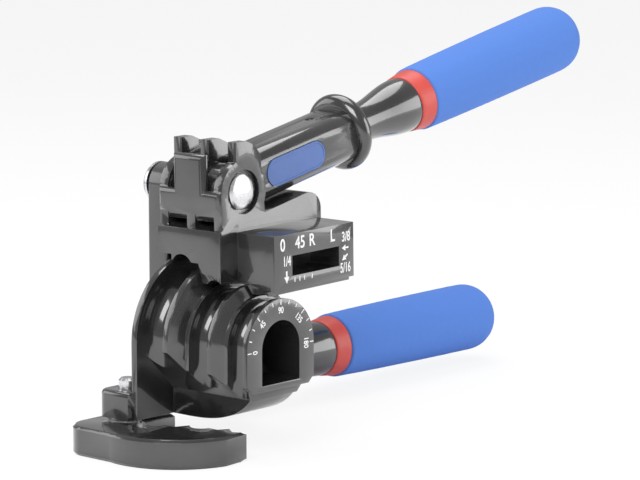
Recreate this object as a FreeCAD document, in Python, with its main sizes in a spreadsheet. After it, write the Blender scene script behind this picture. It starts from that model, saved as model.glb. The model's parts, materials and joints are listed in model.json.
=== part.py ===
"""Three-size lever tube bender for quarter, five-sixteenths and three-eighths inch tube.

The die carries three stepped bending grooves about one axis. A link arm swings about that
axis behind the die and carries the forming shoe and the lever on one main pin. A latch
under the die swings on an upright pin and holds the tube in its groove.

Working axes, before the frame offsets: the bend axis is the Y axis, the scale face of the
die is at y = 0 and looks along -Y, the lower handle runs along +X, and +Z is up.
"""
import FreeCAD
import Part
import Sketcher
import os

Vector = FreeCAD.Vector

# alias, value in millimetres or degrees, meaning
SIZES = [
    # place of the bend axis and scale face in the part's own frame
    ("frame_x", -74.24, "bend axis, from the middle of the footprint"),
    ("frame_y", -34.23, "scale face, from the middle of the footprint"),
    ("frame_z", 35.3, "bend axis above the underside of the latch"),
    # tubes and bends
    ("small_tube", 3.175, "radius of the quarter inch tube"),
    ("middle_tube", 3.97, "radius of the five-sixteenths inch tube"),
    ("large_tube", 4.763, "radius of the three-eighths inch tube"),
    ("small_bend", 14.3, "bend radius of the small tube"),
    ("middle_bend", 17.5, "bend radius of the middle tube"),
    ("large_bend", 23.8, "bend radius of the large tube"),
    ("tube_clearance", 0.1, "groove radius over tube radius"),
    # die
    ("land_rise", 1.7, "top of a groove wall above the tube's middle"),
    ("front_land", 2.1, "wall in front of the small groove"),
    ("middle_land", 1.8, "wall in front of the middle groove"),
    ("large_land", 2.3, "wall in front of the large groove"),
    ("ridge_width", 1.5, "wall behind the small and middle grooves"),
    ("first_slope", 2.7, "width of the slope up to the middle land"),
    ("second_slope", 1.85, "width of the slope up to the large land"),
    ("flange_rise", 2.0, "rear flange above the large land"),
    ("flange_width", 2.4, "thickness of the rear flange"),
    ("facet_reach", 27.0, "how far out the slanted facets under the grooves start"),
    ("face_depth", 13.5, "scale face below the bend axis"),
    ("base_depth", 25.1, "die base below the bend axis"),
    ("base_half", 10.6, "half width of the die base"),
    ("base_inset", 2.0, "die base behind the scale face"),
    ("arch_half", 9.0, "half width and top radius of the arch in the scale face"),
    ("arch_floor", 2.0, "wall under the arch"),
    ("arch_depth", 30.0, "depth of the arch"),
    # pins
    ("pin_radius", 4.0, "main pin and die pin"),
    ("press_clearance", 0.05, "pin in the piece that holds it"),
    ("running_clearance", 0.06, "pin in a piece that turns on it"),
    ("side_clearance", 0.3, "between faces that turn past each other"),
    ("head_radius", 5.85, "head of the main pin"),
    ("head_height", 1.7, "head of the main pin"),
    ("counterbore_radius", 7.3, "seat of the pin head"),
    ("washer_radius", 7.0, "rear washers"),
    ("washer_thickness", 1.0, "rear washers"),
    ("clip_radius", 6.2, "retaining clips"),
    ("clip_thickness", 1.0, "retaining clips"),
    ("clip_gap", 3.4, "mouth of a retaining clip"),
    ("clip_bite", 0.6, "depth of the clip groove in a pin"),
    ("pin_tail", 1.4, "pin behind its clip"),
    # link arm
    ("arm_thickness", 9.0, "link arm"),
    ("arm_half", 7.0, "half width of the link arm"),
    ("arm_gap", 3.6, "spacer between die and link arm"),
    ("spacer_radius", 7.0, "spacer between die and link arm"),
    ("arm_edge", 1.2, "rounding of the link arm's edges"),
    ("pin_height", 49.2, "main pin above the bend axis"),
    # forming shoe
    ("shoe_tilt", 1.2, "shoe turned about the main pin at rest"),
    ("shoe_clearance", 0.8, "shoe above the die"),
    ("step_clearance", 0.3, "steps of the shoe in front of the steps of the die"),
    ("shoe_left", 11.8, "shoe to the left of the main pin"),
    ("shoe_right", 37.5, "upright of the shoe to the right of the main pin"),
    ("nose_left", 3.4, "scale plate to the left of the main pin"),
    ("nose_right", 35.4, "scale plate to the right of the main pin"),
    ("plate_top", 36.4, "top of the scale plate above the bend axis"),
    ("plate_bottom", 18.3, "bottom of the scale plate above the bend axis"),
    ("upright_front", 16.0, "upright of the shoe behind the scale plate's face"),
    ("lever_gap", 0.8, "slot between the upright and the lever"),
    ("upright_corner", 6.0, "rounding at the right of the upright"),
    ("window_left", 5.1, "window in the scale plate"),
    ("window_width", 23.0, "window in the scale plate"),
    ("window_bottom", 22.6, "window in the scale plate above the bend axis"),
    ("window_height", 6.6, "window in the scale plate"),
    ("window_depth", 13.0, "window in the scale plate"),
    ("ear_thickness", 3.6, "ears of the shoe"),
    ("ear_pitch", 12.1, "from one ear to the next"),
    ("ear_boss", 10.5, "round boss of the front ear"),
    ("ear_round", 16.4, "top of the ears above the main pin"),
    ("ear_foot", 14.0, "bottom of the ears below the main pin"),
    ("tab_left", 3.4, "tab of an ear to the left of the main pin"),
    ("wall_rise", 1.0, "wall beside the knuckles above the main pin"),
    ("shield_rise", 12.6, "raised middle of that wall above the main pin"),
    ("shield_half", 7.0, "half width of the raised middle"),
    ("shield_edge", 2.0, "rounding of that wall's outer edges"),
    ("shield_lean", 5.0, "how far that wall leans in at its foot"),
    # lever
    ("lever_tilt", 11.7, "lever above level at rest"),
    ("block_half", 8.7, "half height of the lever block"),
    ("block_start", 8.0, "start of the lever block from the main pin"),
    ("block_end", 61.5, "end of the lever block from the main pin"),
    ("block_round", 5.5, "rounding of the lever block"),
    ("badge_start", 16.0, "badge from the main pin"),
    ("badge_length", 29.0, "badge"),
    ("badge_height", 9.2, "badge"),
    ("badge_recess", 0.7, "depth of the badge's pocket"),
    ("badge_thickness", 0.9, "badge"),
    ("badge_gap", 0.3, "round the badge in its pocket"),
    ("collar_radius", 13.4, "round collar of the lever"),
    ("collar_width", 6.5, "round collar of the lever"),
    ("neck_radius", 6.8, "waist of both ferrules"),
    ("bell_radius", 9.7, "wide end of both ferrules"),
    ("upper_ferrule", 37.0, "length of the upper ferrule"),
    # handles
    ("ring_radius", 10.9, "red rings"),
    ("ring_width", 7.0, "red rings"),
    ("rod_radius", 5.0, "steel rods in both handles"),
    ("rod_seat", 22.0, "rod inside the casting that holds it"),
    ("upper_grip", 91.0, "length of the upper grip"),
    ("lower_grip", 88.0, "length of the lower grip"),
    ("grip_near", 11.5, "radius of a grip at its ring"),
    ("grip_far", 12.6, "radius of a grip at its dome"),
    ("grip_dome", 11.0, "rounding of a grip's end"),
    ("grip_wall", 8.0, "foam beyond the end of the rod"),
    ("roll_pin", 1.5, "radius of the roll pins"),
    ("lower_axis_y", 56.0, "lower handle behind the scale face"),
    ("lower_axis_z", 19.0, "lower handle below the bend axis"),
    ("socket_radius", 8.4, "round socket of the lower handle"),
    ("socket_end", 47.0, "end of the socket from the bend axis"),
    ("socket_block", 30.0, "right end of the square root of the socket"),
    ("socket_root", 4.0, "left end of the square root of the socket"),
    ("socket_rise", 12.0, "top of the root of the socket below the bend axis"),
    ("lower_ferrule", 34.0, "length of the lower ferrule"),
    # latch
    ("latch_thickness", 9.7, "latch"),
    ("latch_gap", 0.5, "washer between die and latch"),
    ("latch_x", 23.0, "latch pin to the left of the bend axis"),
    ("latch_y", 47.0, "latch pin behind the scale face"),
    ("latch_reach", 45.0, "left end of the latch from the bend axis"),
    ("latch_front", 1.2, "front of the latch behind the scale face"),
    ("latch_back", 55.0, "back of the latch behind the scale face"),
    ("latch_pin", 3.0, "radius of the latch pin"),
    ("latch_washer", 6.5, "radius of the latch washer"),
    ("latch_edge", 0.9, "bevel of the latch's rim"),
    ("latch_corner", 8.0, "rounding of the latch's rear corners"),
    ("lug_left", 30.5, "left end of the latch lug from the bend axis"),
    ("lug_right", 13.0, "right end of the latch lug from the bend axis"),
    ("lug_back", 54.0, "back of the latch lug behind the scale face"),
    ("lug_rise", 16.0, "top of the latch lug below the bend axis"),
    ("lug_round", 4.0, "rounding of the latch lug"),
    ("pin_proud", 3.5, "latch pin above its lug"),
]

doc = FreeCAD.newDocument("tube_bender")
sheet = doc.addObject("Spreadsheet::Sheet", "Sizes")
PARTS = []


def fill_sheet():
    """Write every driving dimension into the sheet, with its alias and its meaning."""
    for row, (alias, value, meaning) in enumerate(SIZES, start=1):
        sheet.set(f"A{row}", alias)
        sheet.set(f"B{row}", str(value))
        sheet.set(f"C{row}", meaning)
        sheet.setAlias(f"B{row}", alias)
    doc.recompute()


def size(alias):
    """Return a driving dimension as a number."""
    return float(sheet.get(alias))


def frame_point(x=0.0, y=0.0, z=0.0):
    """Return a point of the working axes in the part's own frame."""
    return Vector(size("frame_x") + x, size("frame_y") + y, size("frame_z") + z)


def keep(item, label):
    """Give a finished sub-part its label and put it on the list of sub-parts."""
    item.Label = label
    PARTS.append(item)
    return item


def keep_shape(shape, label, base, tilt=0.0):
    """Keep a shape made in code as a sub-part, turned up by tilt and then placed at base."""
    item = doc.addObject("Part::Feature", "Shape_" + label)
    item.Shape = shape
    swing = FreeCAD.Placement(base, FreeCAD.Rotation(Vector(0, -1, 0), tilt))
    item.Placement = swing.multiply(shape.Placement)
    return keep(item, label)


# ---------------------------------------------------------------- shared derived sizes

def grooves():
    """Return the three grooves from front to back as dictionaries of sizes."""
    rows = []
    start = 0.0
    slopes = {"small": 0.0, "middle": size("first_slope"), "large": size("second_slope")}
    lands = {"small": size("front_land"), "middle": size("middle_land"), "large": size("large_land")}
    for name in ("small", "middle", "large"):
        radius = size(name + "_tube") + size("tube_clearance")
        land_start = start + slopes[name]
        middle = land_start + lands[name] + radius
        rows.append({
            "name": name,
            "radius": radius,
            "bend": size(name + "_bend"),
            "land": size(name + "_bend") + size("land_rise"),
            "slope_start": start,
            "land_start": land_start,
            "middle": middle,
            "ridge_end": middle + radius + size("ridge_width"),
        })
        start = middle + radius + size("ridge_width")
    return rows


def flange_front():
    """Return the front of the rear flange behind the scale face."""
    large = grooves()[-1]
    return large["middle"] + large["radius"]


def die_back():
    """Return the back of the rear flange behind the scale face."""
    return flange_front() + size("flange_width")


def arm_front():
    """Return the front face of the link arm."""
    return die_back() + size("arm_gap")


def arm_back():
    """Return the rear face of the link arm."""
    return arm_front() + size("arm_thickness")


def ear_fronts():
    """Return the front face of each ear of the shoe, front ear first."""
    return [size("upright_front") + count * size("ear_pitch") for count in range(3)]


def lever_front():
    """Return the front face of the lever block."""
    return ear_fronts()[0] + size("ear_thickness") + size("side_clearance")


def lever_back():
    """Return the rear face of the lever block."""
    return ear_fronts()[2] - size("side_clearance")


def lever_middle():
    """Return the lever's axis behind the scale face."""
    return (lever_front() + lever_back()) / 2


def latch_top():
    """Return the top of the latch above the bend axis."""
    return -size("base_depth") - size("latch_gap")


# ---------------------------------------------------------------- shape helpers

def polygon_face(points):
    """Return a flat face through the given points."""
    return Part.Face(Part.makePolygon(points + [points[0]]))


def prism_y(outline, start, end):
    """Extrude an outline of (x, z) pairs from y = start to y = end."""
    face = polygon_face([Vector(x, start, z) for x, z in outline])
    return face.extrude(Vector(0, end - start, 0))


def box_between(low, high):
    """Return the box between two corners."""
    low, high = Vector(*low), Vector(*high)
    reach = high - low
    return Part.makeBox(reach.x, reach.y, reach.z, low)


def cylinder_y(radius, start, end, x=0.0, z=0.0):
    """Return a cylinder along Y."""
    return Part.makeCylinder(radius, end - start, Vector(x, start, z), Vector(0, 1, 0))


def cylinder_x(radius, start, end, y=0.0, z=0.0):
    """Return a cylinder along X."""
    return Part.makeCylinder(radius, end - start, Vector(start, y, z), Vector(1, 0, 0))


def cylinder_z(radius, start, end, x=0.0, y=0.0):
    """Return a cylinder along Z."""
    return Part.makeCylinder(radius, end - start, Vector(x, y, start), Vector(0, 0, 1))


def round_edges(shape, radius, test):
    """Fillet the edges whose middle point passes the test."""
    edges = []
    for edge in shape.Edges:
        middle = edge.valueAt((edge.FirstParameter + edge.LastParameter) / 2)
        if test(edge, middle):
            edges.append(edge)
    return shape.makeFillet(radius, edges)


def is_straight(edge, direction):
    """Tell whether an edge is a line along the direction."""
    if edge.Curve.TypeId != "Part::GeomLine":
        return False
    return abs(abs(edge.tangentAt(edge.FirstParameter).dot(direction)) - 1) < 1e-6


# ---------------------------------------------------------------- turned pieces

def turned_body(label, outline, place, axis="x"):
    """Make a PartDesign body turned about its local X axis.

    The outline is a list of (along, radius) expressions, the place is a triple of
    expressions in the working axes, and axis says which working axis the body lies on.
    """
    body = doc.addObject("PartDesign::Body", "Body_" + label)
    origin = {item.Role: item for item in body.Origin.OriginFeatures}
    sketch = body.newObject("Sketcher::SketchObject", "Outline_" + label)
    sketch.AttachmentSupport = [(origin["XY_Plane"], "")]
    sketch.MapMode = "FlatFace"
    corners = [Vector(number(along), number(radius), 0) for along, radius in outline]
    count = len(corners)
    for index in range(count):
        sketch.addGeometry(Part.LineSegment(corners[index], corners[(index + 1) % count]), False)
    for index in range(count):
        sketch.addConstraint(Sketcher.Constraint("Coincident", index, 2, (index + 1) % count, 1))
    for index, (along, radius) in enumerate(outline):
        tie_point(sketch, index, "DistanceX", along, corners[index].x)
        tie_point(sketch, index, "DistanceY", radius, corners[index].y)
    turn = body.newObject("PartDesign::Revolution", "Turn_" + label)
    turn.Profile = sketch
    turn.ReferenceAxis = (sketch, ["H_Axis"])
    turn.Angle = 360
    body.Tip = turn
    turns = {"x": FreeCAD.Rotation(), "y": FreeCAD.Rotation(Vector(0, 0, 1), 90),
             "z": FreeCAD.Rotation(Vector(0, 1, 0), -90)}
    body.Placement = FreeCAD.Placement(Vector(), turns[axis])
    for letter, offset in zip("xyz", place):
        body.setExpression(f"Placement.Base.{letter}", f"Sizes.frame_{letter} + ({offset})")
    doc.recompute()
    return keep(body, label)


def tie_point(sketch, index, kind, expression, value):
    """Bind one coordinate of a corner to an expression on the sheet."""
    if expression == "0":
        axis = -1 if kind == "DistanceY" else -2
        sketch.addConstraint(Sketcher.Constraint("PointOnObject", index, 1, axis))
        return
    row = sketch.addConstraint(Sketcher.Constraint(kind, -1, 1, index, 1, value))
    sketch.setExpression(f"Constraints[{row}]", expression)


def number(expression):
    """Return the value of an expression on the sheet."""
    result = sheet.evalExpression(expression)
    return float(getattr(result, "Value", result))


def ring_outline(inner, outer, width):
    """Return the outline of a plain ring."""
    return [("0", inner), (width, inner), (width, outer), ("0", outer)]


def along_lever(body):
    """Turn a body up with the lever about the main pin."""
    base = frame_point(0, lever_middle(), size("pin_height"))
    swing = FreeCAD.Placement(base, FreeCAD.Rotation(Vector(0, -1, 0), size("lever_tilt")))
    for letter in "xyz":
        body.setExpression(f"Placement.Base.{letter}", None)
    body.Placement = swing


# ---------------------------------------------------------------- die

def die_half_section():
    """Return half of the die's section: x is the radius and y runs back."""
    rows = grooves()
    edges = []
    last = Vector(0, 0, 0)

    def line_to(x, y):
        nonlocal last
        point = Vector(x, y, 0)
        edges.append(Part.LineSegment(last, point).toShape())
        last = point

    for row in rows:
        line_to(row["land"], row["land_start"])
        front, back = row["middle"] - row["radius"], row["middle"] + row["radius"]
        line_to(row["land"], front)
        line_to(row["bend"], front)
        bottom = Vector(row["bend"] - row["radius"], row["middle"], 0)
        end = Vector(row["bend"], back, 0)
        edges.append(Part.Arc(last, bottom, end).toShape())
        last = end
        if row["name"] != "large":
            line_to(row["land"], back)
            line_to(row["land"], row["ridge_end"])
    flange = rows[-1]["land"] + size("flange_rise")
    line_to(flange, flange_front())
    line_to(flange, die_back())
    line_to(0, die_back())
    line_to(0, 0)
    return Part.Face(Part.Wire(edges))


def die_base():
    """Return the block under the bend axis, whose underside rises like a keel to the scale face."""
    half, low, high = size("base_half"), -size("base_depth"), -size("face_depth")
    front, back = size("base_inset"), die_back()
    run, fall = back - front, high - low
    spots = [(0, 0), (0.06, 0.3), (0.2, 0.66), (0.45, 0.93), (0.75, 1)]
    keel = Part.BSplineCurve()
    keel.interpolate([Vector(-half, front + run * along, high - fall * down) for along, down in spots])
    flat = spots[-1][0]
    corners = [(front + run * flat, low), (back, low), (back, 0), (front, 0), (front, high)]
    ends = [Vector(-half, y, z) for y, z in corners]
    edges = [keel.toShape()] + [Part.LineSegment(ends[at], ends[at + 1]).toShape() for at in range(len(ends) - 1)]
    return Part.Face(Part.Wire(edges)).extrude(Vector(2 * half, 0, 0))


def die_rear():
    """Return the latch lug and the socket of the lower handle behind the flange."""
    back = die_back() - 1.0
    low = -size("base_depth")
    lug = box_between((-size("lug_left"), back, low), (-size("lug_right"), size("lug_back"), -size("lug_rise")))
    lug = round_edges(lug, size("lug_round"), lambda edge, at: is_straight(edge, Vector(0, 0, 1)) and at.y > back + 1)
    lug = round_edges(lug, 1.5, lambda edge, at: abs(at.z + size("lug_rise")) < 0.01 and at.y > back + 0.01)
    axis_y, axis_z = size("lower_axis_y"), -size("lower_axis_z")
    reach = size("socket_radius")
    root = box_between((-size("socket_root"), back, low), (size("socket_block"), axis_y + reach, -size("socket_rise")))
    root = round_edges(root, 3.0, lambda edge, at: at.y > back + 1 and not is_straight(edge, Vector(0, 1, 0)))
    socket = cylinder_x(reach, 0, size("socket_end"), axis_y, axis_z)
    return lug.fuse([root, socket])


def make_die():
    """Build the grooved die with its arch, base, latch lug and handle socket."""
    half = die_half_section()
    upper = half.revolve(Vector(), Vector(0, -1, 0), 180)
    other = half.mirror(Vector(), Vector(1, 0, 0))
    deep = Vector(0, 0, -size("base_depth"))
    reach = size("facet_reach")
    front_depth = size("face_depth")
    wedge = prism_y([(-reach, 0), (reach, 0), (0, -reach)], -1, flange_front())
    shelf = reach - size("base_half")
    wedge = wedge.cut(box_between((-reach, -2, -reach - 1), (reach, flange_front() + 1, -shelf)))
    wedge = wedge.cut(box_between((-reach, -2, -reach - 1), (reach, size("base_inset") + 0.6, -front_depth)))
    wide = grooves()[-1]["land"] + size("flange_rise")
    plate = box_between((-wide, flange_front(), -size("base_depth")), (wide, die_back(), 0))
    lower = half.extrude(deep).fuse(other.extrude(deep)).common(wedge.fuse(plate))
    die = upper.fuse([lower, die_base(), die_rear()])
    arch = size("arch_half")
    floor = front_depth - size("arch_floor")
    hollow = cylinder_y(arch, -1, size("arch_depth")).fuse(
        box_between((-arch, -1, -floor), (arch, size("arch_depth"), 0)))
    rod_start = size("socket_end") - size("rod_seat")
    rod_hole = cylinder_x(size("rod_radius") + size("press_clearance"), rod_start, size("socket_end") + 1,
                          size("lower_axis_y"), -size("lower_axis_z"))
    bore = cylinder_y(size("pin_radius") + size("press_clearance"), size("arch_depth") - 1, die_back() + 1)
    latch_bore = cylinder_z(size("latch_pin") + size("press_clearance"), -size("base_depth") - 1,
                            -size("lug_rise") + 1, -size("latch_x"), size("latch_y"))
    cross = cylinder_y(size("roll_pin") + size("press_clearance"), size("lower_axis_y") - 20,
                       size("lower_axis_y") + 20, size("socket_end") - size("rod_seat") / 2, -size("lower_axis_z"))
    die = die.cut([hollow, bore, rod_hole, latch_bore, cross]).removeSplitter()
    keep_shape(die, "die_body", frame_point())


# ---------------------------------------------------------------- link arm and pins

def make_link_arm():
    """Build the flat link arm from two round ends and a bar, bored for both pins."""
    bar = doc.addObject("Part::Box", "ArmBar")
    bar.setExpression("Length", "Sizes.arm_half * 2")
    bar.setExpression("Width", "Sizes.arm_thickness")
    bar.setExpression("Height", "Sizes.pin_height")
    bar.setExpression("Placement.Base.x", "-Sizes.arm_half")
    pieces = [bar]
    for name, height in (("ArmFoot", "0"), ("ArmHead", "Sizes.pin_height")):
        pieces.append(round_bar(name, "Sizes.arm_half", "Sizes.arm_thickness", "0", height))
    solid = doc.addObject("Part::MultiFuse", "ArmSolid")
    solid.Shapes = pieces
    solid.Refine = True
    rounded = doc.addObject("Part::Fillet", "ArmRounded")
    rounded.Base = solid
    doc.recompute()
    edge_size = size("arm_edge")
    rounded.Edges = [(index + 1, edge_size, edge_size) for index, edge in enumerate(solid.Shape.Edges)
                     if not is_straight(edge, Vector(0, 1, 0))]
    die_bore = round_bar("ArmDieBore", "Sizes.pin_radius + Sizes.running_clearance",
                         "Sizes.arm_thickness + 2", "-1", "0")
    pin_bore = round_bar("ArmPinBore", "Sizes.pin_radius + Sizes.press_clearance",
                         "Sizes.arm_thickness + 2", "-1", "Sizes.pin_height")
    tools = doc.addObject("Part::MultiFuse", "ArmBores")
    tools.Shapes = [die_bore, pin_bore]
    arm = doc.addObject("Part::Cut", "LinkArm")
    arm.Base = rounded
    arm.Tool = tools
    doc.recompute()
    arm.Placement.Base = frame_point(0, arm_front(), 0)
    keep(arm, "link_arm")


def round_bar(name, radius, length, start, height):
    """Return a Part cylinder along Y whose sizes and place are expressions."""
    bar = doc.addObject("Part::Cylinder", name)
    bar.setExpression("Radius", radius)
    bar.setExpression("Height", length)
    bar.Placement.Rotation = FreeCAD.Rotation(Vector(1, 0, 0), -90)
    bar.setExpression("Placement.Base.y", start)
    bar.setExpression("Placement.Base.z", height)
    return bar


def pin_stack(start, head=False):
    """Return the outline of a pin that starts at y = start and ends behind its clip."""
    clip_start = arm_back() + size("side_clearance") + size("washer_thickness") - start
    groove_end = clip_start + size("clip_thickness") + 0.1
    tail = groove_end + size("pin_tail")
    waist = "Sizes.pin_radius - Sizes.clip_bite"
    outline = [("0", "0"), ("0", "Sizes.pin_radius")]
    if head:
        outline = [("0", "0"), ("0", "Sizes.head_radius * 0.6"),
                   ("Sizes.head_height * 0.15", "Sizes.head_radius * 0.85"),
                   ("Sizes.head_height * 0.4", "Sizes.head_radius"),
                   ("Sizes.head_height", "Sizes.head_radius"), ("Sizes.head_height", "Sizes.pin_radius")]
    return outline + [
        (f"{clip_start:.4f}", "Sizes.pin_radius"), (f"{clip_start:.4f}", waist),
        (f"{groove_end:.4f}", waist), (f"{groove_end:.4f}", "Sizes.pin_radius"),
        (f"{tail - 0.6:.4f}", "Sizes.pin_radius"), (f"{tail:.4f}", "Sizes.pin_radius - 0.6"),
        (f"{tail:.4f}", "0")]


def make_pins():
    """Build the die pin, the main pin, and the washers and clips that hold the link arm."""
    turned_body("die_pivot_pin", pin_stack(size("arch_depth")), ("0", "Sizes.arch_depth", "0"), "y")
    head_front = size("upright_front") + 0.2
    turned_body("main_pin", pin_stack(head_front, head=True), ("0", str(head_front), "Sizes.pin_height"), "y")
    washer = ring_outline("Sizes.pin_radius + Sizes.running_clearance", "Sizes.washer_radius",
                          "Sizes.washer_thickness")
    washer_place = f"{arm_back() + size('side_clearance'):.4f}"
    spacer = ring_outline("Sizes.pin_radius + Sizes.running_clearance", "Sizes.spacer_radius",
                          "Sizes.arm_gap - 0.1")
    turned_body("arm_spacer", spacer, ("0", f"{die_back():.4f}", "0"), "y")
    for label, height in (("die_pin", "0"), ("main_pin", "Sizes.pin_height")):
        turned_body(label + "_washer", washer, ("0", washer_place, height), "y")
    clip_start = arm_back() + size("side_clearance") + size("washer_thickness") + 0.05
    for label, height in (("die_pin_clip", 0.0), ("main_pin_clip", size("pin_height"))):
        make_clip(label, size("pin_radius"), frame_point(0, clip_start, height), Vector(0, 1, 0))


def make_clip(label, pin_radius, base, axis):
    """Build an open retaining clip round a pin."""
    thick = size("clip_thickness")
    inner = pin_radius - size("clip_bite") + size("press_clearance")
    outer = size("clip_radius") * pin_radius / size("pin_radius")
    ring = Part.makeCylinder(outer, thick).cut(Part.makeCylinder(inner, thick))
    mouth = size("clip_gap") / 2
    ring = ring.cut(box_between((-mouth, 0, -1), (mouth, outer + 1, thick + 1)))
    ring.Placement = FreeCAD.Placement(Vector(), FreeCAD.Rotation(Vector(0, 0, 1), axis))
    keep_shape(ring.copy(), label, base)


# ---------------------------------------------------------------- forming shoe

def shoe_underside():
    """Return the stepped underside as (y, z) pairs, clear of the die at every step."""
    gap, ahead = size("shoe_clearance"), size("step_clearance")
    points = []
    for row in grooves():
        if row["name"] != "small":
            points.append((row["slope_start"] - ahead, points[-1][1]))
            points.append((row["land_start"] - ahead, row["land"] + gap))
        else:
            points.append((0, row["land"] + gap))
    return points


def shoe_body_section(front, back, top):
    """Return the YZ section of the shoe between two depths, from its underside to its top."""
    under = shoe_underside()
    inside = [point for point in under if front < point[0] < back]
    before = [point for point in under if point[0] <= front]
    level = before[-1][1]
    bottom = [(front, level)] + inside + [(back, inside[-1][1] if inside else level)]
    return bottom + [(back, top), (front, top)]


def section_prism(section, left, right):
    """Extrude a YZ section from x = left to x = right."""
    face = polygon_face([Vector(left, y, z) for y, z in section])
    return face.extrude(Vector(right - left, 0, 0))


def ear_shape(front, boss):
    """Return one hooked ear of the shoe about the main pin."""
    back = front + size("ear_thickness")
    high, top, tab = size("pin_height"), size("ear_round"), size("tab_left")
    foot = high - size("ear_foot")
    web = prism_y([(-boss, foot), (-boss, high), (-tab, high), (-tab, high + top), (tab / 2, high + top),
                   (tab * 1.6, high + top * 0.9), (tab * 2.4, high + top * 0.7), (boss, foot)], front, back)
    lobe = cylinder_y(boss, front, back, 0, high)
    return web.fuse(lobe)


def shield():
    """Return the wall at the left of the knuckles with its raised middle."""
    left, high, foot = -size("shoe_left"), size("pin_height"), size("pin_height") - size("ear_foot")
    inner = -size("block_half") - size("lever_gap")
    front, back = ear_fronts()[0], ear_fronts()[2] + size("ear_thickness")
    edge = size("shield_edge")

    def is_outer(line, at):
        return at.x < left + 0.01 and at.z > foot + 0.01

    wall = box_between((left, front, foot), (inner, back, high + size("wall_rise")))
    wall = round_edges(wall, edge, is_outer)
    middle = (front + back) / 2
    half = size("shield_half")
    raised = box_between((left, middle - half, foot), (inner, middle + half, high + size("shield_rise")))
    raised = round_edges(raised, edge, is_outer)
    lean = prism_y([(left - 1, foot - 1), (left + size("shield_lean"), foot - 1), (left - 1, high - 2)],
                   front - 1, back + 1)
    return wall.fuse(raised).cut(lean)


def lever_room(front, back):
    """Return the space above the stop face, which follows the lever's underside at rest."""
    length, depth = 200.0, back - front + 2
    room = Part.makeBox(2 * length, depth, length, Vector(-length, front - 1, -size("block_half") - size("lever_gap")))
    slope = FreeCAD.Rotation(Vector(0, -1, 0), size("lever_tilt") - size("shoe_tilt"))
    room.Placement = FreeCAD.Placement(Vector(0, 0, size("pin_height")), slope)
    return room


def shoe_block():
    """Return the scale plate, the upright and the ears before anything is cut."""
    left, right = -size("shoe_left"), size("shoe_right")
    front = size("upright_front")
    rear = flange_front() - size("side_clearance")
    upright = section_prism(shoe_body_section(front, rear, size("pin_height")), left, right)
    upright = upright.cut(lever_room(front, rear))
    upright = round_edges(upright, size("upright_corner"), lambda edge, at: is_straight(edge, Vector(0, 1, 0))
                          and at.x > right - 0.01 and at.z > size("plate_top"))
    nose = section_prism(shoe_body_section(0, front + 0.5, size("plate_top")), -size("nose_left"), size("nose_right"))
    nose = nose.cut(box_between((-50, -1, 0), (50, size("front_land"), size("plate_bottom"))))
    ears = [ear_shape(start, size("ear_boss")) for start in ear_fronts()]
    heel_low = grooves()[-1]["land"] + size("flange_rise") + size("shoe_clearance")
    heel_back = ear_fronts()[2] + size("ear_thickness")
    heel = box_between((left, rear - 2, heel_low), (size("ear_boss"), heel_back, size("pin_height")))
    heel = heel.cut(lever_room(rear - 2, heel_back))
    return upright.fuse([nose, heel, shield()] + ears)


def make_shoe():
    """Build the forming shoe: grooves below, window in front and hinge ears above."""
    shoe = shoe_block()
    high = size("pin_height")
    cuts = []
    for row in grooves():
        cuts.append(cylinder_x(row["radius"], -60, 60, row["middle"], row["bend"]))
    slot_radius = size("block_half") + 0.8
    for index, front in enumerate(ear_fronts()[:2]):
        start = front + size("ear_thickness")
        cuts.append(cylinder_y(slot_radius, start, ear_fronts()[index + 1], 0, high))
    cuts.append(box_between((size("window_left"), -1, size("window_bottom")),
                            (size("window_left") + size("window_width"), size("window_depth"),
                             size("window_bottom") + size("window_height"))))
    cuts.append(cylinder_y(size("pin_radius") + size("running_clearance"), 0, 60, 0, high))
    seat = 0.2 + size("head_height") + 0.1
    front = size("upright_front")
    cuts.append(cylinder_y(size("counterbore_radius"), front - 1, front + seat, 0, high))
    shoe = shoe.cut(cuts).removeSplitter()
    shoe.translate(Vector(0, 0, -high))
    keep_shape(shoe, "forming_shoe", frame_point(0, 0, high), size("shoe_tilt"))


# ---------------------------------------------------------------- lever

def make_lever_block():
    """Build the lever block with its knuckles, ear slot, badge pocket and rod hole."""
    half = size("block_half")
    front, back = lever_front() - lever_middle(), lever_back() - lever_middle()
    block = box_between((size("block_start"), front, -half), (size("block_end"), back, half))
    block = round_edges(block, size("block_round"), lambda edge, at: is_straight(edge, Vector(1, 0, 0)))
    block = block.fuse(cylinder_y(half, front, back))
    cuts = []
    slot_front = ear_fronts()[1] - size("side_clearance") - lever_middle()
    slot_back = slot_front + size("ear_thickness") + 2 * size("side_clearance")
    cuts.append(cylinder_y(size("ear_round") + 1.2, slot_front, slot_back))
    cuts.append(cylinder_y(size("pin_radius") + size("running_clearance"), front - 1, back + 1))
    gap = size("badge_gap")
    cuts.append(stadium(size("badge_start") - gap, size("badge_length") + 2 * gap,
                        size("badge_height") + 2 * gap, front - 1, front + size("badge_recess")))
    end = size("block_end")
    cuts.append(cylinder_x(size("rod_radius") + size("press_clearance"), end - size("rod_seat"), end + 1))
    cuts.append(cylinder_z(size("roll_pin") + size("press_clearance"), -20, 20, end - size("rod_seat") / 2, 0))
    block = block.cut(cuts).removeSplitter()
    keep_shape(block, "lever_block", frame_point(0, lever_middle(), size("pin_height")), size("lever_tilt"))


def stadium(start, length, height, front, back):
    """Return a bar with round ends that lies along X and is thick along Y."""
    radius = height / 2
    bar = box_between((start + radius, front, -radius), (start + length - radius, back, radius))
    ends = [cylinder_y(radius, front, back, start + offset, 0) for offset in (radius, length - radius)]
    return bar.fuse(ends).removeSplitter()


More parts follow.
